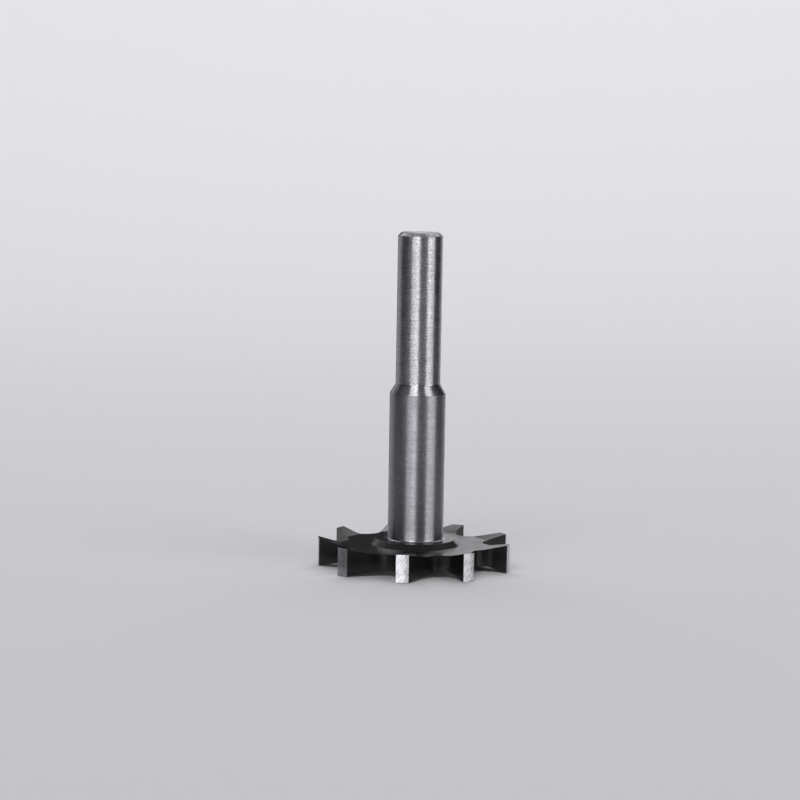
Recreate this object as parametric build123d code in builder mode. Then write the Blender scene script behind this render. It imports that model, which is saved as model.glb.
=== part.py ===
from build123d import *

import os
from math import cos, radians, sin, tan

# Disc groove cutter: a toothed disc on a stepped shank, turned and milled from one bar.
# All lengths are in millimetres and all angles in degrees.
# The origin is the centre of the disc's end face, and +Z runs up the shank.

# Driving dimensions of the toothed disc
CUTTING_DIA = 35.0
GROOVE_WIDTH = 5.0
TEETH = 9
FIRST_TOOTH_ANGLE = -97.5

# Driving dimensions of the body and the shank
BODY_DIA = 10.0
BODY_TOP = 31.25
SHANK_DIA = 8.0
STEP_ANGLE = 30.0
TOTAL_LENGTH = 60.0

# Turned form of the disc's two faces, the same above and below
HUB_DIA = 14.0
WEB_DIA = 27.0
WEB_THICKNESS = 3.0

# Form of a tooth and of the gullet behind it
LAND_ANGLE = 7.5
LAND_DROP = 0.16
BACK_ANGLE = 30.0
GULLET_RADIUS = 3.0

# Small edges
FOOT_FILLET = 0.3
STEP_FILLET = 0.4
SHANK_BEVEL = 0.6

# The gullet's cut runs this far past the rim
CUT_MARGIN = 2.0

# Derived sizes of the turned blank
cutting_radius = CUTTING_DIA / 2
web_radius = WEB_DIA / 2
hub_radius = HUB_DIA / 2
body_radius = BODY_DIA / 2
shank_radius = SHANK_DIA / 2
face_relief = (GROOVE_WIDTH - WEB_THICKNESS) / 2
hub_base_radius = hub_radius + face_relief
step_top = BODY_TOP + (body_radius - shank_radius) / tan(radians(STEP_ANGLE))


def polar(radius, angle):
    """Point in the plan of the disc, with the tooth that it belongs to centred on the X axis."""
    return (radius * cos(radians(angle)), radius * sin(radians(angle)))


# The cutter turns clockwise seen from the shank, so a tooth leads with its clockwise edge.
# From that edge its land falls inwards a little, so that only the edge meets the work.
half_land = LAND_ANGLE / 2
land_end_radius = cutting_radius - LAND_DROP
cutting_edge = polar(cutting_radius, -half_land)
land_middle = polar(cutting_radius - LAND_DROP / 2, 0)
land_end = polar(land_end_radius, half_land)

# Behind the land the tooth's back runs straight, at its own angle to the tooth's centre line.
# It would meet the next tooth's flat radial face in this corner, which the gullet's floor rounds.
rake_angle = 360 / TEETH - half_land
corner_sine_ratio = sin(radians(BACK_ANGLE + half_land)) / sin(radians(BACK_ANGLE + rake_angle))
corner = polar(land_end_radius * corner_sine_ratio, rake_angle)

# The waste outside the lands goes with the gullet.
outer_radius = cutting_radius + CUT_MARGIN
outer_start = polar(outer_radius, rake_angle)
outer_middle = polar(outer_radius, (rake_angle - half_land) / 2)
outer_end = polar(outer_radius, -half_land)

# Half of the blank, seen from the front, from the end face up to the shank's end
blank_profile = [
    (0, 0),
    (hub_radius, 0),
    (hub_base_radius, face_relief),
    (web_radius, face_relief),
    (cutting_radius, 0),
    (cutting_radius, GROOVE_WIDTH),
    (web_radius, GROOVE_WIDTH - face_relief),
    (hub_base_radius, GROOVE_WIDTH - face_relief),
    (hub_radius, GROOVE_WIDTH),
    (body_radius, GROOVE_WIDTH),
    (body_radius, BODY_TOP),
    (shank_radius, step_top),
    (shank_radius, TOTAL_LENGTH),
    (0, TOTAL_LENGTH),
]

# One gullet in plan, with the land in front of it
with BuildSketch() as gullet:
    with BuildLine():
        ThreePointArc(cutting_edge, land_middle, land_end)
        Polyline(land_end, corner, outer_start)
        ThreePointArc(outer_start, outer_middle, outer_end)
        Line(outer_end, cutting_edge)
    make_face()
    fillet(gullet.vertices().sort_by_distance((0, 0))[0], GULLET_RADIUS)

with BuildPart() as groove_cutter:
    # The turned blank: disc, body, step and shank.
    with BuildSketch(Plane.XZ):
        with BuildLine():
            Polyline(*blank_profile, close=True)
        make_face()
    revolve(axis=Axis.Z)

    # The body's foot and the top of the step are rounded in.
    at_foot = groove_cutter.edges().filter_by_position(Axis.Z, GROOVE_WIDTH, GROOVE_WIDTH)
    fillet(at_foot.sort_by(SortBy.RADIUS)[0], FOOT_FILLET)
    fillet(groove_cutter.edges().filter_by_position(Axis.Z, step_top, step_top), STEP_FILLET)

    # The shank's end is bevelled.
    chamfer(groove_cutter.faces().sort_by(Axis.Z)[-1].edges(), SHANK_BEVEL)

    # The gullets are milled straight through the disc.
    with BuildSketch():
        with PolarLocations(0, TEETH, start_angle=FIRST_TOOTH_ANGLE):
            add(gullet.sketch)
    extrude(amount=GROOVE_WIDTH, mode=Mode.SUBTRACT)

groove_cutter.part.label = "groove_cutter"

print("volume in cubic mm", round(groove_cutter.part.volume, 1))
print("faces", len(groove_cutter.faces()), "valid", groove_cutter.part.is_valid)

os.makedirs("parts", exist_ok=True)
export_step(groove_cutter.part, "parts/groove_cutter.step")
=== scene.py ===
# %% [markdown]
# # Disc groove cutter
#
# This lesson dresses a small cutting tool: a toothed disc on a stepped round shank. The real tool is turned
# and milled from one bar of tool steel. The head is finished glossy black, the body and shank are bare
# steel, and the nine tooth lands are ground bright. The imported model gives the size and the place, so the
# lesson starts from it.

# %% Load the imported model
from math import acos, atan2, cos, degrees, pi, radians, sin, sqrt, tan

import bmesh
import bpy
from mathutils import Matrix, Vector


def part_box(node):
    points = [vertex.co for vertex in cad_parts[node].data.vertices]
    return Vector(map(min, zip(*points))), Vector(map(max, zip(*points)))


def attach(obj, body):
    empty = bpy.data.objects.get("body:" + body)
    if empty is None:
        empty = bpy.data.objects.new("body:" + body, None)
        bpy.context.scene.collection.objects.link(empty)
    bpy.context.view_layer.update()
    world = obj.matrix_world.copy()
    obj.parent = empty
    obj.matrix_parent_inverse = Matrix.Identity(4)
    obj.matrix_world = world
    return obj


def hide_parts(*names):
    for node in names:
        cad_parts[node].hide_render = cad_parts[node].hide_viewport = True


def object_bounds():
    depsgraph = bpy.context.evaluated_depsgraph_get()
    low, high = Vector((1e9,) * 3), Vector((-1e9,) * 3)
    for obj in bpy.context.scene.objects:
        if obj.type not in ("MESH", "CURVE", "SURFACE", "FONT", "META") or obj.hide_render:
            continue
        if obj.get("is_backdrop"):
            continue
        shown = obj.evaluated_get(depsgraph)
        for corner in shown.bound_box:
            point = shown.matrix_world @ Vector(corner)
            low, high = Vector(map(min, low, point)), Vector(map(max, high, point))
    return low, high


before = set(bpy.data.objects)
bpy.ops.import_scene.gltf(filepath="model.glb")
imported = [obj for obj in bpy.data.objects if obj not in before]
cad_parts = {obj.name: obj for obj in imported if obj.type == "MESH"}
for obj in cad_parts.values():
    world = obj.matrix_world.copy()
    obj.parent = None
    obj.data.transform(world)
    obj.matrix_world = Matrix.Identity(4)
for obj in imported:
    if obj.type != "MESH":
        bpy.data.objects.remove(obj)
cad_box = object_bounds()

MM = 0.001
MICRON = 0.000001
node_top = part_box("groove_cutter")[1]
TOTAL_LENGTH = node_top.z / MM
print("packed node is", round(TOTAL_LENGTH, 2), "mm tall")

# %% [markdown]
# ## Camera
#
# The photograph was taken from a little above the disc, nearly level, with a long lens. A camera can be
# placed by eye, but here a pinhole camera was fitted to the tool's own edges, which is exact. These are its
# place, its tilts and its lens. The camera turns in two steps: first it is tipped down from the horizon,
# then it rolls about its own line of sight.

# %% Set up the camera
CAMERA_PLACE_MM = (-3.169, -449.70, 83.58)
CAMERA_PITCH = 6.800
CAMERA_ROLL = 0.984
CAMERA_LENS_MM = 113.92
SENSOR_MM = 36.0
NEAREST_SEEN_M = 0.01
FARTHEST_SEEN_M = 30.0

camera_data = bpy.data.cameras.new("camera")
camera_data.lens = CAMERA_LENS_MM
camera_data.sensor_width = SENSOR_MM
camera_data.clip_start = NEAREST_SEEN_M
camera_data.clip_end = FARTHEST_SEEN_M
camera = bpy.data.objects.new("camera", camera_data)
bpy.context.scene.collection.objects.link(camera)
tipped = Matrix.Rotation(radians(90 - CAMERA_PITCH), 4, "X")
rolled = Matrix.Rotation(radians(CAMERA_ROLL), 4, "Z")
camera.matrix_world = Matrix.Translation(Vector(CAMERA_PLACE_MM) * MM) @ tipped @ rolled
bpy.context.scene.camera = camera
bpy.context.scene.view_settings.view_transform = "Standard"
print("camera stands", round(Vector(CAMERA_PLACE_MM).length), "mm from the tool")

# %% [markdown]
# ## Two helpers for colour and nodes
#
# Colours are written as the sRGB hex values that a colour picker shows, and one function turns them to the
# linear values that shaders use. A second function adds a shader node, sets it and links it in one call,
# which keeps each material short enough to read.

# %% Define the colour and node helpers
def colour(hex_value):
    """Linear RGBA from an sRGB hex string such as '#c8c8cc'."""
    channels = [int(hex_value[i : i + 2], 16) / 255 for i in (1, 3, 5)]
    linear = [c / 12.92 if c <= 0.04045 else ((c + 0.055) / 1.055) ** 2.4 for c in channels]
    return (*linear, 1.0)


def add(tree, kind, inputs=None, **settings):
    """Add a shader node, apply its settings, and fill its inputs with values or other outputs."""
    node = tree.nodes.new("ShaderNode" + kind)
    for name, value in settings.items():
        setattr(node, name, value)
    for key, value in (inputs or {}).items():
        if isinstance(value, bpy.types.NodeSocket):
            tree.links.new(value, node.inputs[key])
        else:
            node.inputs[key].default_value = value
    return node


print("pale grey in linear light is", [round(c, 3) for c in colour("#c8c8cc")[:3]])

# %% [markdown]
# ## Floor and backdrop
#
# The tool stands on a plain pale grey floor of painted board. A flat floor alone would end in a line
# behind the tool, so a second board curves up there as a studio's sweep does. Its profile is an arc and a
# straight rise, drawn out sideways. It reaches further to the left, where the photograph shows a pale rim
# on the steel. The paint is matt, so the eye gets one even pale tone without shine.

# %% Make the floor and the sweep
FLOOR_COLOUR = "#c9c9cc"
PAINT_ROUGHNESS = 0.9
FLOOR_REACH_M = 12.0
SWEEP_START_M = 0.35
SWEEP_RADIUS_M = 0.9
SWEEP_TOP_M = 2.4
SWEEP_LEFT_M = -3.0
SWEEP_RIGHT_M = 0.55
SWEEP_STEPS = 32
# The boards lie a hair lower than the tool's end face, so that the two never share a plane.
FLOOR_GAP_M = 0.00002


def between(start, end, steps):
    """Evenly spaced values from start to end, both included."""
    return [start + (end - start) * i / steps for i in range(steps + 1)]


def ribbon_faces(steps):
    """Four-sided faces of a ribbon whose points were made in pairs, one pair for each end of a step."""
    return [(2 * i, 2 * i + 1, 2 * i + 3, 2 * i + 2) for i in range(steps)]


def stage_sheet(name, profile, left, right):
    """Sheet with a profile of depths and heights, spanning left to right, in metres."""
    mesh = bpy.data.meshes.new(name)
    points = [(side, depth, up - FLOOR_GAP_M) for depth, up in profile for side in (left, right)]
    mesh.from_pydata(points, [], ribbon_faces(len(profile) - 1))
    mesh.shade_smooth()
    mesh.materials.append(painted_board)
    sheet = bpy.data.objects.new(name, mesh)
    bpy.context.scene.collection.objects.link(sheet)
    sheet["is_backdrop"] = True


painted_board = bpy.data.materials.new("painted_board_matt")
painted_board.use_nodes = True
board_shader = painted_board.node_tree.nodes["Principled BSDF"]
board_shader.inputs["Base Color"].default_value = colour(FLOOR_COLOUR)
board_shader.inputs["Roughness"].default_value = PAINT_ROUGHNESS
board_shader.inputs["Specular IOR Level"].default_value = 0.0

sweep_profile = [
    (
        SWEEP_START_M + SWEEP_RADIUS_M * sin(radians(turned)),
        SWEEP_RADIUS_M * (1 - cos(radians(turned))),
    )
    for turned in between(0, 90, SWEEP_STEPS)
]
sweep_profile.append((SWEEP_START_M + SWEEP_RADIUS_M, SWEEP_TOP_M))
stage_sheet("floor", [(-FLOOR_REACH_M, 0), (FLOOR_REACH_M, 0)], -FLOOR_REACH_M, FLOOR_REACH_M)
stage_sheet("sweep", sweep_profile, SWEEP_LEFT_M, SWEEP_RIGHT_M)
print("sweep rises to", SWEEP_TOP_M, "m")

# %% [markdown]
# ## Surroundings
#
# Polished metal shows its surroundings, so these are half of how the tool looks. A picture of a room
# could be wrapped round the scene, but a few greys say more plainly what does what. Low down the room is
# mid grey, as a studio's walls are in half light. Above that it is dim, which leaves dark bands between the
# bright streaks on the steel. Overhead it gets paler again, like a white ceiling. The world's colour is a
# ramp over the height of a ray.

# %% Make the surroundings
ROOM_BY_ELEVATION = [(9, "#8e8e90"), (15, "#3a3a3c"), (33, "#3a3a3c"), (43, "#949496")]

world = bpy.data.worlds.new("studio")
world.use_nodes = True
bpy.context.scene.world = world
tree = world.node_tree
direction = add(tree, "TexCoord").outputs["Generated"]
ray_height = add(tree, "SeparateXYZ", {0: direction}).outputs["Z"]
ramp = add(tree, "ValToRGB", {"Fac": ray_height})
stops = ramp.color_ramp.elements
while len(stops) < len(ROOM_BY_ELEVATION):
    stops.new(1.0)
for stop, (elevation, shade) in zip(stops, ROOM_BY_ELEVATION):
    stop.position = sin(radians(elevation))
    stop.color = colour(shade)
tree.links.new(ramp.outputs["Color"], tree.nodes["Background"].inputs["Color"])
print("surroundings change at", [elevation for elevation, shade in ROOM_BY_ELEVATION], "degrees up")

# %% [markdown]
# ## Softboxes
#
# Softboxes stand left and right behind the camera. On a round steel bar each side draws one bright
# streak. A point of the bar mirrors what lies at twice the angle that its surface turns away from the
# camera, so the streaks in the photograph say where the softboxes stood: 2 to 42 degrees to the left and
# 41 to 78 degrees to the right. Both streaks are brighter towards the camera, so each side has a brighter
# inner and a dimmer outer box. They are low strips that end ten degrees up, or the glossy disc would
# mirror them to anyone who looks from the far side. The step faces up and mirrors what is higher, so more
# boxes hang above the strips. A wide softbox hangs behind and above the tool. It lights the floor and the
# back, and the front hardly mirrors it.

# %% Set up the softboxes
SOFTBOX_DISTANCE_M = 2.0
LOW_M = (0.01, 0.36)
HIGH_M = (1.5, 2.8)
UPRIGHT_SOFTBOXES = [
    # Name, first and last angle from the camera's side, lowest and highest edge, radiance
    ("softbox_left_low_outer", -42, -20, *LOW_M, 8.9),
    ("softbox_left_low_inner", -20, -2, *LOW_M, 14.2),
    ("softbox_left_high_outer", -42, -20, *HIGH_M, 4.0),
    ("softbox_left_high_inner", -20, -2, *HIGH_M, 6.3),
    ("softbox_right_low_inner", 41, 58, *LOW_M, 12.2),
    ("softbox_right_low_outer", 58, 78, *LOW_M, 8.8),
    ("softbox_right_high", 41, 78, *HIGH_M, 3.0),
]
OVERHEAD_PLACE_M = (0.0, 0.75, 0.95)
OVERHEAD_WIDTH_M = 1.6
OVERHEAD_DEPTH_M = 0.9
OVERHEAD_RADIANCE = 2.2


def softbox(name, centre, aim, width, depth, radiance):
    """Area light centred at a point and facing the point that it is aimed at."""
    light = bpy.data.lights.new(name, "AREA")
    light.shape = "RECTANGLE"
    light.size = width
    light.size_y = depth
    light.energy = radiance * pi * width * depth
    lamp = bpy.data.objects.new(name, light)
    lamp.location = centre
    lamp.rotation_euler = (Vector(centre) - Vector(aim)).to_track_quat("Z", "Y").to_euler()
    lamp.visible_camera = False
    bpy.context.scene.collection.objects.link(lamp)
    print(name, "measures", round(width, 2), "by", round(depth, 2), "m")


def upright_softbox(name, from_angle, to_angle, bottom, top, radiance):
    """Upright softbox between two angles, counted from the camera's side, and two heights."""
    middle = radians((from_angle + to_angle) / 2)
    width = 2 * SOFTBOX_DISTANCE_M * tan(radians(to_angle - from_angle) / 2)
    centre_height = (bottom + top) / 2
    centre = (SOFTBOX_DISTANCE_M * sin(middle), -SOFTBOX_DISTANCE_M * cos(middle), centre_height)
    softbox(name, centre, (0, 0, centre_height), width, top - bottom, radiance)


for row in UPRIGHT_SOFTBOXES:
    upright_softbox(*row)
softbox(
    "softbox_overhead",
    OVERHEAD_PLACE_M,
    (0, 0, 0),
    OVERHEAD_WIDTH_M,
    OVERHEAD_DEPTH_M,
    OVERHEAD_RADIANCE,
)

# %% [markdown]
# ## Black cards and painted shade
#
# A photographer stands black cards round shiny metal to give it dark edges. Two cards at the sides darken
# the bar beside its streaks. The disc's flat face is glossy too, and from low in front it mirrors what
# stands behind it: in the photograph its right half shows a pale backdrop and its left half something dark.
# The third card does that. The walls of the gullets mirror the floor at their feet, which is dark in the
# photograph, so the fourth card is a curved strip on the floor in front of the disc. This strip is painted
# shade: a dark floor that only the reflections show. Only glossy rays see the cards, so they cast no shadow
# and no camera sees them. The standing cards are matt black paper, and all four show in the steel as one
# even dark tone.

# %% Stand the black cards and lay the painted shade
# One dark grey for the black cards and for the painted shade on the floor.
CARD_AND_PAINTED_SHADE_COLOUR = "#303032"
CARD_TOP_M = 0.12
CARD_ENDS_M = {
    "card_behind": ((-0.060, 0.12), (-0.001, 0.12)),
    "card_left": ((-0.150, -0.080), (-0.163, 0.047)),
    "card_right": ((0.168, -0.024), (0.139, 0.098)),
}
STRIP_INNER_M = 0.022
STRIP_OUTER_M = 0.038
STRIP_FROM_ANGLE = -72
STRIP_TO_ANGLE = 58
STRIP_STEPS = 16

card_and_painted_shade_finish = bpy.data.materials.new("card_black_matt_and_painted_shade")
card_and_painted_shade_finish.use_nodes = True
card_and_painted_shade_shader = card_and_painted_shade_finish.node_tree.nodes["Principled BSDF"]
card_and_painted_shade_shader.inputs["Base Color"].default_value = colour(CARD_AND_PAINTED_SHADE_COLOUR)
card_and_painted_shade_shader.inputs["Roughness"].default_value = 1.0
card_and_painted_shade_shader.inputs["Specular IOR Level"].default_value = 0.0


def reflection_only_sheet(name, corners, faces):
    """Flat card or strip of painted shade that only reflections show, from its corners in metres."""
    card_mesh = bpy.data.meshes.new(name)
    card_mesh.from_pydata(corners, [], faces)
    card_mesh.materials.append(card_and_painted_shade_finish)
    card = bpy.data.objects.new(name, card_mesh)
    card.visible_camera = False
    card.visible_diffuse = False
    card.visible_shadow = False
    bpy.context.scene.collection.objects.link(card)
    card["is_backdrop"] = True


for name, (first, last) in CARD_ENDS_M.items():
    corners = [(*first, 0), (*last, 0), (*last, CARD_TOP_M), (*first, CARD_TOP_M)]
    reflection_only_sheet(name, corners, [(0, 1, 2, 3)])

# The strip on the floor is painted shade, seen only in reflections, so the gullet walls mirror a dark floor.
strip_points = [
    (radius * sin(radians(angle)), -radius * cos(radians(angle)), 0)
    for angle in between(STRIP_FROM_ANGLE, STRIP_TO_ANGLE, STRIP_STEPS)
    for radius in (STRIP_INNER_M, STRIP_OUTER_M)
]
reflection_only_sheet("painted_shade_strip_on_floor", strip_points, ribbon_faces(STRIP_STEPS))
print("cards stand", [round(Vector(first).length, 2) for first, last in CARD_ENDS_M.values()], "m away")

# %% [markdown]
# ## The shape of the cutter in numbers
#
# Everything about the tool's form follows from a few sizes in millimetres. The disc has nine teeth at
# 40 degrees. Between two teeth lies a gullet: a straight back behind one land, a round floor, and the flat
# radial face under the next cutting edge. Both faces of the disc are turned down to a thinner web and rise
# again to the rim.

# %% State the sizes of the cutter
CUTTING_RADIUS = 17.5
GROOVE_WIDTH = 5.0
TEETH = 9
FIRST_TOOTH_ANGLE = -97.5
BODY_RADIUS = 5.0
BODY_TOP = 31.25
SHANK_RADIUS = 4.0
STEP_ANGLE = 30.0
HUB_RADIUS = 7.0
WEB_RADIUS = 13.5
FACE_RELIEF = 1.0
LAND_ANGLE = 7.5
LAND_DROP = 0.16
BACK_ANGLE = 30.0
GULLET_RADIUS = 3.0
FOOT_FILLET = 0.3
STEP_FILLET = 0.4
SHANK_BEVEL = 0.6

PITCH_ANGLE = 360 / TEETH
HALF_LAND = LAND_ANGLE / 2
HUB_BASE_RADIUS = HUB_RADIUS + FACE_RELIEF
LAND_END_RADIUS = CUTTING_RADIUS - LAND_DROP
STEP_TOP = BODY_TOP + (BODY_RADIUS - SHANK_RADIUS) / tan(radians(STEP_ANGLE))
print("the step ends", round(STEP_TOP, 2), "mm above the end face")

# %% [markdown]
# ## The outline of one tooth
#
# A tooth could be drawn from points, but its true outline is only two lines and an arc, so formulas are
# shorter and exact. A straight line in plan stays at one distance from the axis, which gives its angle at
# any radius. For the gullet's floor, the triangle between the axis, the centre of the floor and the point
# on it does the same.

# %% Work out the gullet
back_foot_angle = 90 - BACK_ANGLE
back_offset = LAND_END_RADIUS * cos(radians(back_foot_angle - HALF_LAND))
rake_line_angle = PITCH_ANGLE - HALF_LAND
opening = radians(back_foot_angle - rake_line_angle)
# The floor's centre lies one floor radius off the back line and off the radial rake line.
rake_face_start = (back_offset + GULLET_RADIUS * (1 + sin(opening))) / cos(opening)
floor_centre_radius = sqrt(rake_face_start**2 + GULLET_RADIUS**2)
floor_centre_angle = rake_line_angle - degrees(atan2(GULLET_RADIUS, rake_face_start))


def back_angle_at(radius):
    """Angle of the tooth's straight back at this radius, counted from the tooth's centre line."""
    return back_foot_angle - degrees(acos(back_offset / radius))


def rake_angle_at(radius):
    """Angle of the tooth's front at this radius: the end of the round floor, then the rake face."""
    if radius >= rake_face_start:
        return -HALF_LAND
    cosine = (floor_centre_radius**2 + radius**2 - GULLET_RADIUS**2) / (2 * floor_centre_radius * radius)
    return floor_centre_angle + degrees(acos(cosine)) - PITCH_ANGLE


def face_height(radius):
    """Height of the disc's upper face above the middle of the disc, outside the hub."""
    rise = max(0.0, radius - WEB_RADIUS) / (CUTTING_RADIUS - WEB_RADIUS)
    return GROOVE_WIDTH / 2 - FACE_RELIEF * (1 - rise)


print("gullet floor comes within", round(floor_centre_radius - GULLET_RADIUS, 2), "mm of the axis")

# %% [markdown]
# ## Points of one pitch
#
# The disc repeats every 40 degrees, so one pitch is worked out and turned nine times. A point is a radius
# and an angle. The tooth is a small grid between its front and its back. The web is a second grid, between
# the foot of the hub and a line that follows the tooth's root and then the gullet's floor. Grids of
# four-sided faces bevel and shade cleanly, which a cut made with the Boolean modifier would not.

# %% Lay out the tooth
TOOTH_COLUMNS = 10
FLOOR_ROWS = 6
RAKE_ROWS = 6


def tooth_row(radius):
    """One row of the tooth, from its front to its back, falling inwards as the land does."""
    fall = LAND_DROP * (radius - WEB_RADIUS) / (CUTTING_RADIUS - WEB_RADIUS)
    front = rake_angle_at(radius)
    back = back_angle_at(radius - fall)
    shares = between(0, 1, TOOTH_COLUMNS)
    return [(radius - fall * share, front + (back - front) * share) for share in shares]


tooth_radii = between(WEB_RADIUS, rake_face_start, FLOOR_ROWS)
tooth_radii += between(rake_face_start, CUTTING_RADIUS, RAKE_ROWS)[1:]
tooth_grid = [tooth_row(radius) for radius in tooth_radii]
print("one tooth has", len(tooth_grid), "rows of", len(tooth_grid[0]), "points")

# %% Lay out the gullet's floor and the web
BACK_STEPS = 2
FLOOR_STEPS = 12
WEB_ROWS = 5


def polar(radius, angle):
    """Point in plan from a radius and an angle in degrees."""
    return Vector((radius * cos(radians(angle)), radius * sin(radians(angle))))


def angle_of(point):
    """Angle of a point in plan, in degrees."""
    return degrees(atan2(point.y, point.x))


floor_centre = polar(floor_centre_radius, floor_centre_angle)
next_root = polar(WEB_RADIUS, rake_angle_at(WEB_RADIUS) + PITCH_ANGLE)
arc_start = back_foot_angle + 180
arc_end = angle_of(next_root - floor_centre)
arc_angles = between(arc_start, arc_end, FLOOR_STEPS)
arc_points = [floor_centre + polar(GULLET_RADIUS, turned) for turned in arc_angles]
back_radii = between(WEB_RADIUS, arc_points[0].length, BACK_STEPS)

floor_line = [(radius, back_angle_at(radius)) for radius in back_radii[1:]]
floor_line += [(point.length, angle_of(point)) for point in arc_points[1:-1]]
web_edge = tooth_grid[0] + floor_line

pitch_start = web_edge[0][1]
points_per_pitch = len(web_edge)
ring_angles = [pitch_start + PITCH_ANGLE * i / points_per_pitch for i in range(points_per_pitch)]


def web_row(share):
    """One row of the web, from the foot of the hub at share 0 to the web's edge at share 1."""
    return [
        (
            HUB_BASE_RADIUS + (radius - HUB_BASE_RADIUS) * share,
            ring + (angle - ring) * share,
        )
        for (radius, angle), ring in zip(web_edge, ring_angles)
    ]


web_grid = [web_row(share) for share in between(0, 1, WEB_ROWS)]
print("one pitch has", points_per_pitch, "points round the axis")

# %% [markdown]
# ## The turned parts
#
# Hub, foot, body, step and shank were turned on a lathe, so they are one half profile swept round the axis.
# The Screw modifier could sweep it, but then it would not meet the teeth point by point. Small roundings at
# the foot and over the step are arcs in this profile. It carries on from the web's inner ring, with as many
# points round the axis, so that the two meet without a seam.

# %% Draw the half profile above and below the web
ARC_STEPS = 8
BODY_STEPS = 13
SHANK_STEPS = 14
SHANK_END_STEPS = 3
UNDER_STEPS = 5
# The black finish ends here, just outside the foot of the body.
BARE_RING_RADIUS = 5.5


def rounding(centre, radius, start, end):
    """Points of a rounding in the half profile, with angles counted from straight outwards."""
    return [
        (centre[0] + radius * cos(radians(turned)), centre[1] + radius * sin(radians(turned)))
        for turned in between(start, end, ARC_STEPS)
    ]


foot_centre = (BODY_RADIUS + FOOT_FILLET, GROOVE_WIDTH + FOOT_FILLET)
foot = rounding(foot_centre, FOOT_FILLET, 270, 180)
step_setback = STEP_FILLET * tan(radians(STEP_ANGLE) / 2)
step_centre = (SHANK_RADIUS + STEP_FILLET, STEP_TOP + step_setback)
step = rounding(step_centre, STEP_FILLET, 180 + STEP_ANGLE, 180)
foot_top = foot[-1][1]
straight_from = step[-1][1]
straight_to = TOTAL_LENGTH - SHANK_BEVEL

hub_profile = [
    (HUB_BASE_RADIUS, GROOVE_WIDTH - FACE_RELIEF),
    (HUB_RADIUS, GROOVE_WIDTH),
    (BARE_RING_RADIUS, GROOVE_WIDTH),
]
foot_profile = [(BARE_RING_RADIUS, GROOVE_WIDTH)] + foot
body_profile = [(BODY_RADIUS, height) for height in between(foot_top, BODY_TOP, BODY_STEPS)]
step_profile = [(BODY_RADIUS, BODY_TOP)] + step
shank_profile = [(SHANK_RADIUS, height) for height in between(straight_from, straight_to, SHANK_STEPS)]
shank_end_radii = between(SHANK_RADIUS - SHANK_BEVEL, 0, SHANK_END_STEPS)
shank_profile += [(radius, TOTAL_LENGTH) for radius in shank_end_radii]
under_profile = [(HUB_BASE_RADIUS, FACE_RELIEF)]
under_profile += [(radius, 0.0) for radius in between(HUB_RADIUS, 0, UNDER_STEPS)]
print("the shank's straight part runs from", round(straight_from, 2), "to", round(straight_to, 2), "mm")

# %% [markdown]
# ## One mesh for the whole cutter
#
# The real cutter is one piece, so its mesh is one closed skin. Each grid goes in with its finish as a
# number, and points that meet are merged at the end. Then each edge is judged by how far the surface bends
# over it: sharp outside corners are marked for a fine bevel, and sharp inside corners keep a hard line in
# the shading.

# %% Define how a grid becomes a skin
WALL_ROWS = 4
HEAD, LAND, BODY, STEP, SHANK = range(5)

skin = bmesh.new()


def point_at(radius, angle, height, pitch):
    """Point of the tool in metres, from its place in one pitch and its height over the end face."""
    flat = polar(radius, angle + FIRST_TOOTH_ANGLE + pitch * PITCH_ANGLE)
    return Vector((flat.x, flat.y, height)) * MM


def skin_over(rows, finish):
    """Cover a grid of points with four-sided faces of one finish."""
    grid = [[skin.verts.new(point) for point in row] for row in rows]
    for low, high in zip(grid, grid[1:]):
        for i in range(len(low) - 1):
            face = skin.faces.new((low[i], low[i + 1], high[i + 1], high[i]))
            face.material_index = finish
            face.smooth = True


def disc_row(line, share, pitch):
    """Points over a line in plan, at share 1 on the upper face, 0 half way and -1 on the lower face."""
    return [
        point_at(radius, angle, GROOVE_WIDTH / 2 + share * face_height(radius), pitch)
        for radius, angle in line
    ]


def both_faces(plan_rows, pitch):
    """Cover the disc's upper and lower face over a grid of radii and angles."""
    for side in (1, -1):
        skin_over([disc_row(line, side, pitch) for line in plan_rows], HEAD)


def wall(line, pitch, finish):
    """Cover the milled wall between the two faces along a line in plan."""
    skin_over([disc_row(line, share, pitch) for share in between(-1, 1, WALL_ROWS)], finish)


def turn_profile(profile, finish):
    """Cover the surface that a half profile makes round the axis."""
    angles = ring_angles + [pitch_start + PITCH_ANGLE]
    for pitch in range(TEETH):
        rows = [[point_at(radius, angle, height, pitch) for angle in angles] for radius, height in profile]
        skin_over(rows, finish)


print("a wall is covered with", WALL_ROWS, "rows of faces")

# %% Cover the whole cutter
MERGE_MM = 0.002

front_line = [row[0] for row in tooth_grid]
back_line = [row[-1] for row in tooth_grid]
next_first = (WEB_RADIUS, pitch_start + PITCH_ANGLE)
gullet_line = [back_line[0]] + floor_line + [next_first]
web_rows = [row + [(row[0][0], row[0][1] + PITCH_ANGLE)] for row in web_grid]
for pitch in range(TEETH):
    both_faces(tooth_grid, pitch)
    both_faces(web_rows, pitch)
    wall(front_line, pitch, HEAD)
    wall(tooth_grid[-1], pitch, LAND)
    wall(back_line, pitch, HEAD)
    wall(gullet_line, pitch, HEAD)
turn_profile(hub_profile, HEAD)
turn_profile(foot_profile, STEP)
turn_profile(body_profile, BODY)
turn_profile(step_profile, STEP)
turn_profile(shank_profile, SHANK)
turn_profile(under_profile, HEAD)

bmesh.ops.remove_doubles(skin, verts=skin.verts, dist=MERGE_MM * MM)
bmesh.ops.dissolve_degenerate(skin, edges=skin.edges, dist=MERGE_MM * MM)
bmesh.ops.recalc_face_normals(skin, faces=skin.faces)
open_edges = sum(1 for edge in skin.edges if not edge.is_manifold)
print("skin has", len(skin.faces), "faces and", open_edges, "open edges")

# %% Mark the sharp edges
BEVEL_FROM_ANGLE = 25
HARD_FROM_ANGLE = 11

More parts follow.
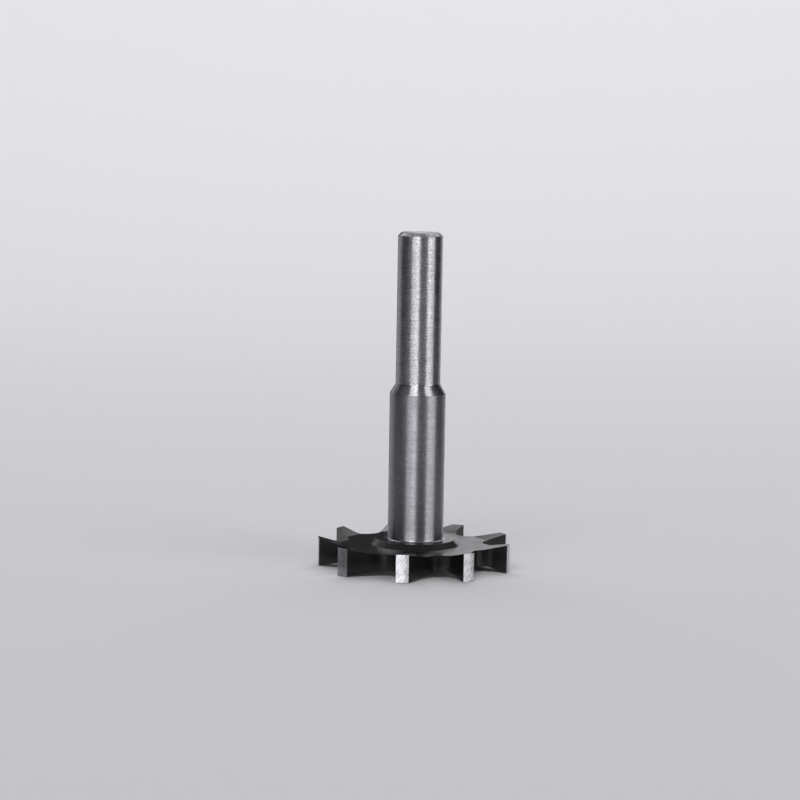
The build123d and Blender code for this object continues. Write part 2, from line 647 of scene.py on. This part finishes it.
bevel_weight = skin.edges.layers.float.new("bevel_weight_edge")
bevelled_edges = 0
for edge in skin.edges:
    bend = degrees(edge.calc_face_angle_signed(0))
    if bend > BEVEL_FROM_ANGLE:
        edge[bevel_weight] = 1.0
        bevelled_edges += 1
    elif abs(bend) > HARD_FROM_ANGLE:
        edge.smooth = False
print("edges to bevel:", bevelled_edges)

# %% Make the object
EDGE_BEVEL_MM = 0.04
EDGE_BEVEL_SEGMENTS = 2

cutter_mesh = bpy.data.meshes.new("groove_cutter_skin")
skin.to_mesh(cutter_mesh)
skin.free()
cutter = bpy.data.objects.new("groove_cutter_skin", cutter_mesh)
bpy.context.scene.collection.objects.link(cutter)

bevel = cutter.modifiers.new("worn_edges", "BEVEL")
bevel.limit_method = "WEIGHT"
bevel.width = EDGE_BEVEL_MM * MM
bevel.segments = EDGE_BEVEL_SEGMENTS
bevel.harden_normals = True

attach(cutter, "root")
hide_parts("groove_cutter")
print(cutter.name, "has", len(cutter_mesh.vertices), "points before its bevel")

# %% [markdown]
# ## Bare tool steel
#
# Body, step and shank are hardened tool steel, bare of any finish. A metal shows hardly any colour of its
# own, so its look comes from how it was cut. Lines that run round the bar scatter light up and down it far
# more than sideways. That draws the tall soft streaks, so the shader is anisotropic, with its tangent
# running round the axis and its stretch turned a quarter, along the bar. Grain, scuffs and pits come from
# noise, at sizes in millimetres, because they are too fine to be worth cutting into the mesh.

# %% Scatter spots
SPOT_SIZE_POWER = 3.0
SPOT_EDGE = 0.02


def spots(tree, where, spacing_mm, largest):
    """Scattered spots, 1 inside and 0 outside. Each cell holds one, and most are tiny."""
    cells = add(tree, "TexVoronoi", {"Vector": where, "Scale": 1 / spacing_mm})
    chance = add(tree, "SeparateColor", {0: cells.outputs["Color"]}).outputs[0]
    size = add(tree, "Math", {0: chance, 1: SPOT_SIZE_POWER}, operation="POWER").outputs[0]
    past_edge = add(
        tree,
        "Math",
        {0: size, 1: -largest, 2: cells.outputs["Distance"]},
        operation="MULTIPLY_ADD",
    ).outputs[0]
    return add(
        tree,
        "MapRange",
        {"Value": past_edge, "From Min": -SPOT_EDGE, "From Max": SPOT_EDGE, "To Min": 1.0, "To Max": 0.0},
    ).outputs[0]


print("half of the spots are under", 0.5**SPOT_SIZE_POWER, "of the largest size")

# %% Draw the marks of cutting and handling
# Real grain is a few hundredths of a millimetre. It is drawn coarser, nearly two pixels wide, to show.
GRAIN_MM = 0.28
BLOTCH_MM = 2.0
# The lines of the real cut lie about 0.05 mm apart. They are drawn coarser too.
LINE_MM = 0.16
LINE_CHANGE_SIDEWAYS = 0.05
PIT_SPACING_MM = 1.5
PIT_LARGEST = 0.15
SCUFF_SPACING_MM = 1.2
SCUFF_LARGEST = 0.10
SCUFF_STRETCH = 6.0


def steel_marks(tree, place_mm):
    """Grain, blotches and cutting lines as noise, and pits and scuffs as one pattern of marks."""
    grain = add(
        tree,
        "TexNoise",
        {"Vector": place_mm, "Scale": 1 / GRAIN_MM, "Detail": 2.0, "Roughness": 0.6},
    ).outputs["Fac"]
    blotch = add(
        tree,
        "TexNoise",
        {"Vector": place_mm, "Scale": 1 / BLOTCH_MM, "Detail": 5.0, "Roughness": 0.65},
    ).outputs["Fac"]

    # Lines left by turning or grinding run round the bar, so their noise hardly changes sideways.
    along_mm = add(
        tree,
        "VectorMath",
        {0: place_mm, 1: (LINE_CHANGE_SIDEWAYS, LINE_CHANGE_SIDEWAYS, 1.0)},
        operation="MULTIPLY",
    ).outputs[0]
    lines = add(
        tree,
        "TexNoise",
        {"Vector": along_mm, "Scale": 1 / LINE_MM, "Detail": 2.0},
    ).outputs["Fac"]

    # Pits are small dark spots, and scuffs are spots drawn out along the bar.
    pits = spots(tree, place_mm, PIT_SPACING_MM, PIT_LARGEST)
    drawn_mm = add(
        tree,
        "VectorMath",
        {0: place_mm, 1: (1.0, 1.0, 1 / SCUFF_STRETCH)},
        operation="MULTIPLY",
    ).outputs[0]
    scuffs = spots(tree, drawn_mm, SCUFF_SPACING_MM, SCUFF_LARGEST)
    marks = add(tree, "Math", {0: pits, 1: scuffs}, operation="MAXIMUM").outputs[0]
    return grain, blotch, lines, marks


print("grain is drawn", GRAIN_MM, "mm wide, and pits lie about", PIT_SPACING_MM, "mm apart")

# %% Define the bare steel
QUARTER_TURN = 0.25
# Nearly all values of a noise texture lie between these two.
NOISE_LOW = 0.3
NOISE_HIGH = 0.7
LINES_IN_TONE = 0.5
BLOTCH_IN_TONE = 0.3
MARKS_IN_TONE = -0.8
TONE_DARKEST = 0.62
TONE_PALEST = 1.18
LINES_IN_RELIEF = 0.3
ROUGHNESS_SPREAD = 0.2


def bare_steel(name, dark, pale, roughness, anisotropy, grain_um, blotch_um, pit_um):
    """Bare tool steel. The depths of its grain, blotches and pits are in micrometres."""
    steel = bpy.data.materials.new(name)
    steel.use_nodes = True
    tree = steel.node_tree
    shader = tree.nodes["Principled BSDF"]
    shader.inputs["Metallic"].default_value = 1.0
    shader.inputs["Anisotropic"].default_value = anisotropy
    shader.inputs["Anisotropic Rotation"].default_value = QUARTER_TURN
    round_axis = add(tree, "Tangent", direction_type="RADIAL", axis="Z")
    tree.links.new(round_axis.outputs[0], shader.inputs["Tangent"])

    metres = add(tree, "TexCoord").outputs["Object"]
    place_mm = add(tree, "VectorMath", {0: metres, "Scale": 1 / MM}, operation="SCALE").outputs[0]
    grain, blotch, lines, marks = steel_marks(tree, place_mm)

    # The tone mixes the grain, the lines and the blotches, and the marks are darker.
    tone = add(tree, "Math", {0: lines, 1: LINES_IN_TONE, 2: grain}, operation="MULTIPLY_ADD").outputs[0]
    tone = add(tree, "Math", {0: blotch, 1: BLOTCH_IN_TONE, 2: tone}, operation="MULTIPLY_ADD").outputs[0]
    tone = add(
        tree,
        "MapRange",
        {"Value": tone, "From Min": TONE_DARKEST, "From Max": TONE_PALEST},
    ).outputs[0]
    tone = add(
        tree,
        "Math",
        {0: marks, 1: MARKS_IN_TONE, 2: tone},
        operation="MULTIPLY_ADD",
        use_clamp=True,
    ).outputs[0]
    base = add(tree, "Mix", {0: tone, 6: colour(dark), 7: colour(pale)}, data_type="RGBA").outputs[2]
    tree.links.new(base, shader.inputs["Base Color"])

    # Blotches are a little smoother or rougher than the steel is on average.
    rough = add(
        tree,
        "MapRange",
        {
            "Value": blotch,
            "From Min": NOISE_LOW,
            "From Max": NOISE_HIGH,
            "To Min": (1 - ROUGHNESS_SPREAD) * roughness,
            "To Max": (1 + ROUGHNESS_SPREAD) * roughness,
        },
    ).outputs[0]
    tree.links.new(rough, shader.inputs["Roughness"])

    relief_um = add(tree, "Math", {0: grain, 1: grain_um}, operation="MULTIPLY").outputs[0]
    lines_um = LINES_IN_RELIEF * grain_um
    for pattern, depth_um in ((blotch, blotch_um), (lines, lines_um), (marks, -pit_um)):
        relief_um = add(
            tree,
            "Math",
            {0: pattern, 1: depth_um, 2: relief_um},
            operation="MULTIPLY_ADD",
        ).outputs[0]
    relief = add(tree, "Bump", {"Height": relief_um, "Distance": MICRON})
    tree.links.new(relief.outputs[0], shader.inputs["Normal"])
    return steel


print("lines are", LINES_IN_RELIEF, "as deep as the grain")

# %% [markdown]
# ## Three bare zones
#
# The three bare zones differ only in how they were cut. The body is ground and then a little scuffed by
# handling. The step and the small rounding at the foot are turned to a smooth, nearly mirror finish, so a
# softbox shows there with crisp edges. The shank is left as it came from heat treatment and a light polish,
# so its streaks look mottled.

# %% Make the three bare steels
ground_body = bare_steel(
    "tool_steel_ground",
    "#6a6a6e",
    "#8f8f94",
    roughness=0.38,
    anisotropy=0.82,
    grain_um=8.0,
    blotch_um=10.0,
    pit_um=8.0,
)
turned_step = bare_steel(
    "tool_steel_fine_turned",
    "#828286",
    "#98989c",
    roughness=0.24,
    anisotropy=0.60,
    grain_um=3.0,
    blotch_um=4.0,
    pit_um=3.0,
)
polished_shank = bare_steel(
    "tool_steel_hardened",
    "#676769",
    "#b0b0b4",
    roughness=0.35,
    anisotropy=0.88,
    grain_um=17.0,
    blotch_um=12.0,
    pit_um=10.0,
)
print("bare steels:", ground_body.name, turned_step.name, polished_shank.name)

# %% [markdown]
# ## Black finish
#
# The head is blackened in a hot salt bath and then oiled. Oxide and oil together are a thin glossy skin,
# black where it is looked at squarely, and a mirror where it is looked at along the surface. A dark metal
# would mirror as much from every side, so this is a dark dielectric with low roughness. Fine rings from the
# lathe still show through on the disc's two faces.

# %% Draw the patterns of the black finish
# The rings of the real cut lie about 0.1 mm apart. They are drawn coarser, so that they show at this size.
FEED_MM = 0.22
SMEAR_MM = 2.4

black_oxide = bpy.data.materials.new("black_oxide_oiled")
black_oxide.use_nodes = True
tree = black_oxide.node_tree

surface = add(tree, "TexCoord")
metres = surface.outputs["Object"]
place_mm = add(tree, "VectorMath", {0: metres, "Scale": 1 / MM}, operation="SCALE").outputs[0]
plan_mm = add(tree, "VectorMath", {0: place_mm, 1: (1.0, 1.0, 0.0)}, operation="MULTIPLY").outputs[0]
radius_mm = add(tree, "VectorMath", {0: plan_mm}, operation="LENGTH").outputs["Value"]
rings = add(
    tree,
    "TexNoise",
    {"W": radius_mm, "Scale": 1 / FEED_MM, "Detail": 2.0, "Roughness": 0.5},
    noise_dimensions="1D",
).outputs["Fac"]
# The rings are on the turned faces and not on the milled walls, so they follow how far a face looks up.
facing_up = add(tree, "SeparateXYZ", {0: surface.outputs["Normal"]}).outputs["Z"]
turned_share = add(tree, "Math", {0: facing_up}, operation="ABSOLUTE").outputs[0]
rings = add(tree, "Math", {0: rings, 1: turned_share}, operation="MULTIPLY").outputs[0]
smear = add(
    tree,
    "TexNoise",
    {"Vector": place_mm, "Scale": 1 / SMEAR_MM, "Detail": 6.0, "Roughness": 0.62},
).outputs["Fac"]
specks = add(
    tree,
    "TexNoise",
    {"Vector": place_mm, "Scale": 1 / GRAIN_MM, "Detail": 2.0, "Roughness": 0.6},
).outputs["Fac"]
print("rings are drawn", FEED_MM, "mm apart and smears", SMEAR_MM, "mm wide")

# %% Make the black finish
OXIDE_COLOUR = "#0b0b0c"
OXIDE_WORN_COLOUR = "#1c1c1e"
OIL_IOR = 1.42
RINGS_IN_WEAR = 0.5
WEAR_STARTS = 0.66
WEAR_FULL = 1.0
OIL_SMOOTHEST = 0.14
OIL_ROUGHEST = 0.28
RING_UM = 2.0
SPECK_UM = 4.0
SMEAR_UM = 6.0

shader = tree.nodes["Principled BSDF"]
shader.inputs["IOR"].default_value = OIL_IOR
wear = add(tree, "Math", {0: rings, 1: RINGS_IN_WEAR, 2: specks}, operation="MULTIPLY_ADD").outputs[0]
worn = add(
    tree,
    "MapRange",
    {"Value": wear, "From Min": WEAR_STARTS, "From Max": WEAR_FULL},
).outputs[0]
base = add(
    tree,
    "Mix",
    {0: worn, 6: colour(OXIDE_COLOUR), 7: colour(OXIDE_WORN_COLOUR)},
    data_type="RGBA",
).outputs[2]
tree.links.new(base, shader.inputs["Base Color"])
rough = add(
    tree,
    "MapRange",
    {
        "Value": smear,
        "From Min": NOISE_LOW,
        "From Max": NOISE_HIGH,
        "To Min": OIL_SMOOTHEST,
        "To Max": OIL_ROUGHEST,
    },
).outputs[0]
tree.links.new(rough, shader.inputs["Roughness"])
relief_um = add(tree, "Math", {0: rings, 1: RING_UM}, operation="MULTIPLY").outputs[0]
relief_um = add(tree, "Math", {0: specks, 1: SPECK_UM, 2: relief_um}, operation="MULTIPLY_ADD").outputs[0]
relief_um = add(tree, "Math", {0: smear, 1: SMEAR_UM, 2: relief_um}, operation="MULTIPLY_ADD").outputs[0]
relief = add(tree, "Bump", {"Height": relief_um, "Distance": MICRON})
tree.links.new(relief.outputs[0], shader.inputs["Normal"])
print("oxide's index of refraction is", OIL_IOR)

# %% [markdown]
# ## Ground lands
#
# The nine lands are ground last, through the black finish, so they are the brightest steel on the tool. A
# grinding wheel leaves short slanting scratches, which give the lands a silky grey glitter. They are drawn
# as noise that is stretched along the slant, on a plane that is unrolled from the rim: one direction is the
# way round the rim and the other is the height. Noise in space would be stretched differently on each land.

# %% Draw the scratches on the unrolled rim
SCRATCH_SLANT = 58.0
# Real scratches of a wheel are a few hundredths of a millimetre wide. They are drawn coarser, to show.
SCRATCH_WIDTH_MM = 0.23
SCRATCH_STRETCH = 5.0
SEAM_TURN = 17.5

ground_land = bpy.data.materials.new("tool_steel_wheel_ground")
ground_land.use_nodes = True
tree = ground_land.node_tree

# The angle's seam is turned into a gullet, where no land can show it.
metres = add(tree, "TexCoord").outputs["Object"]
place_mm = add(tree, "VectorMath", {0: metres, "Scale": 1 / MM}, operation="SCALE").outputs[0]
turned_mm = add(
    tree,
    "VectorRotate",
    {"Vector": place_mm, "Angle": radians(SEAM_TURN)},
    rotation_type="Z_AXIS",
).outputs[0]
parts = add(tree, "SeparateXYZ", {0: turned_mm}).outputs
angle = add(tree, "Math", {0: parts["Y"], 1: parts["X"]}, operation="ARCTAN2").outputs[0]
round_mm = add(tree, "Math", {0: angle, 1: CUTTING_RADIUS}, operation="MULTIPLY").outputs[0]
unrolled = add(tree, "CombineXYZ", {"X": round_mm, "Y": parts["Z"]}).outputs[0]
slanted = add(
    tree,
    "VectorRotate",
    {"Vector": unrolled, "Angle": radians(-SCRATCH_SLANT)},
    rotation_type="Z_AXIS",
).outputs[0]
drawn = add(
    tree,
    "VectorMath",
    {0: slanted, 1: (1 / SCRATCH_STRETCH, 1.0, 1.0)},
    operation="MULTIPLY",
).outputs[0]
scratches = add(
    tree,
    "TexNoise",
    {"Vector": drawn, "Scale": 1 / SCRATCH_WIDTH_MM, "Detail": 2.0, "Roughness": 0.6},
).outputs["Fac"]
cloud = add(
    tree,
    "TexNoise",
    {"Vector": place_mm, "Scale": 1 / GRAIN_MM, "Detail": 3.0, "Roughness": 0.6},
).outputs["Fac"]
print("scratches are", SCRATCH_STRETCH, "times as long as they are wide")

# %% Make the ground lands
SCRATCH_COLOUR = "#8e8e93"
GROUND_COLOUR = "#bebec2"
GROUND_ANISOTROPY = 0.8
SCRATCH_DARKEST = 0.34
SCRATCH_PALEST = 0.60
GROUND_SMOOTHEST = 0.28
GROUND_ROUGHEST = 0.37
SCRATCH_UM = 9.0
CLOUD_UM = 5.0

shader = tree.nodes["Principled BSDF"]
shader.inputs["Metallic"].default_value = 1.0
shader.inputs["Anisotropic"].default_value = GROUND_ANISOTROPY
shader.inputs["Anisotropic Rotation"].default_value = QUARTER_TURN
round_axis = add(tree, "Tangent", direction_type="RADIAL", axis="Z")
tree.links.new(round_axis.outputs[0], shader.inputs["Tangent"])
tone = add(
    tree,
    "MapRange",
    {"Value": scratches, "From Min": SCRATCH_DARKEST, "From Max": SCRATCH_PALEST},
).outputs[0]
base = add(
    tree,
    "Mix",
    {0: tone, 6: colour(SCRATCH_COLOUR), 7: colour(GROUND_COLOUR)},
    data_type="RGBA",
).outputs[2]
tree.links.new(base, shader.inputs["Base Color"])
rough = add(
    tree,
    "MapRange",
    {
        "Value": cloud,
        "From Min": NOISE_LOW,
        "From Max": NOISE_HIGH,
        "To Min": GROUND_SMOOTHEST,
        "To Max": GROUND_ROUGHEST,
    },
).outputs[0]
tree.links.new(rough, shader.inputs["Roughness"])
relief_um = add(tree, "Math", {0: scratches, 1: SCRATCH_UM}, operation="MULTIPLY").outputs[0]
relief_um = add(tree, "Math", {0: cloud, 1: CLOUD_UM, 2: relief_um}, operation="MULTIPLY_ADD").outputs[0]
relief = add(tree, "Bump", {"Height": relief_um, "Distance": MICRON})
tree.links.new(relief.outputs[0], shader.inputs["Normal"])
print("lands have a roughness of", GROUND_SMOOTHEST, "to", GROUND_ROUGHEST)

# %% Give the cutter its finishes
# The order is that of the numbers HEAD, LAND, BODY, STEP and SHANK.
for finish in (black_oxide, ground_land, ground_body, turned_step, polished_shank):
    cutter_mesh.materials.append(finish)
print("finishes:", [finish.name for finish in cutter_mesh.materials])

# %% [markdown]
# ## Sizes and the last step
#
# The dressed tool must be as large as the imported one. Both sizes are printed, in millimetres.

# %% Print the sizes and finish
seen_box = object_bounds()
for name, (low, high) in (("packed", cad_box), ("dressed", seen_box)):
    print(name, "size in mm", [round((high[i] - low[i]) / MM, 2) for i in range(3)])
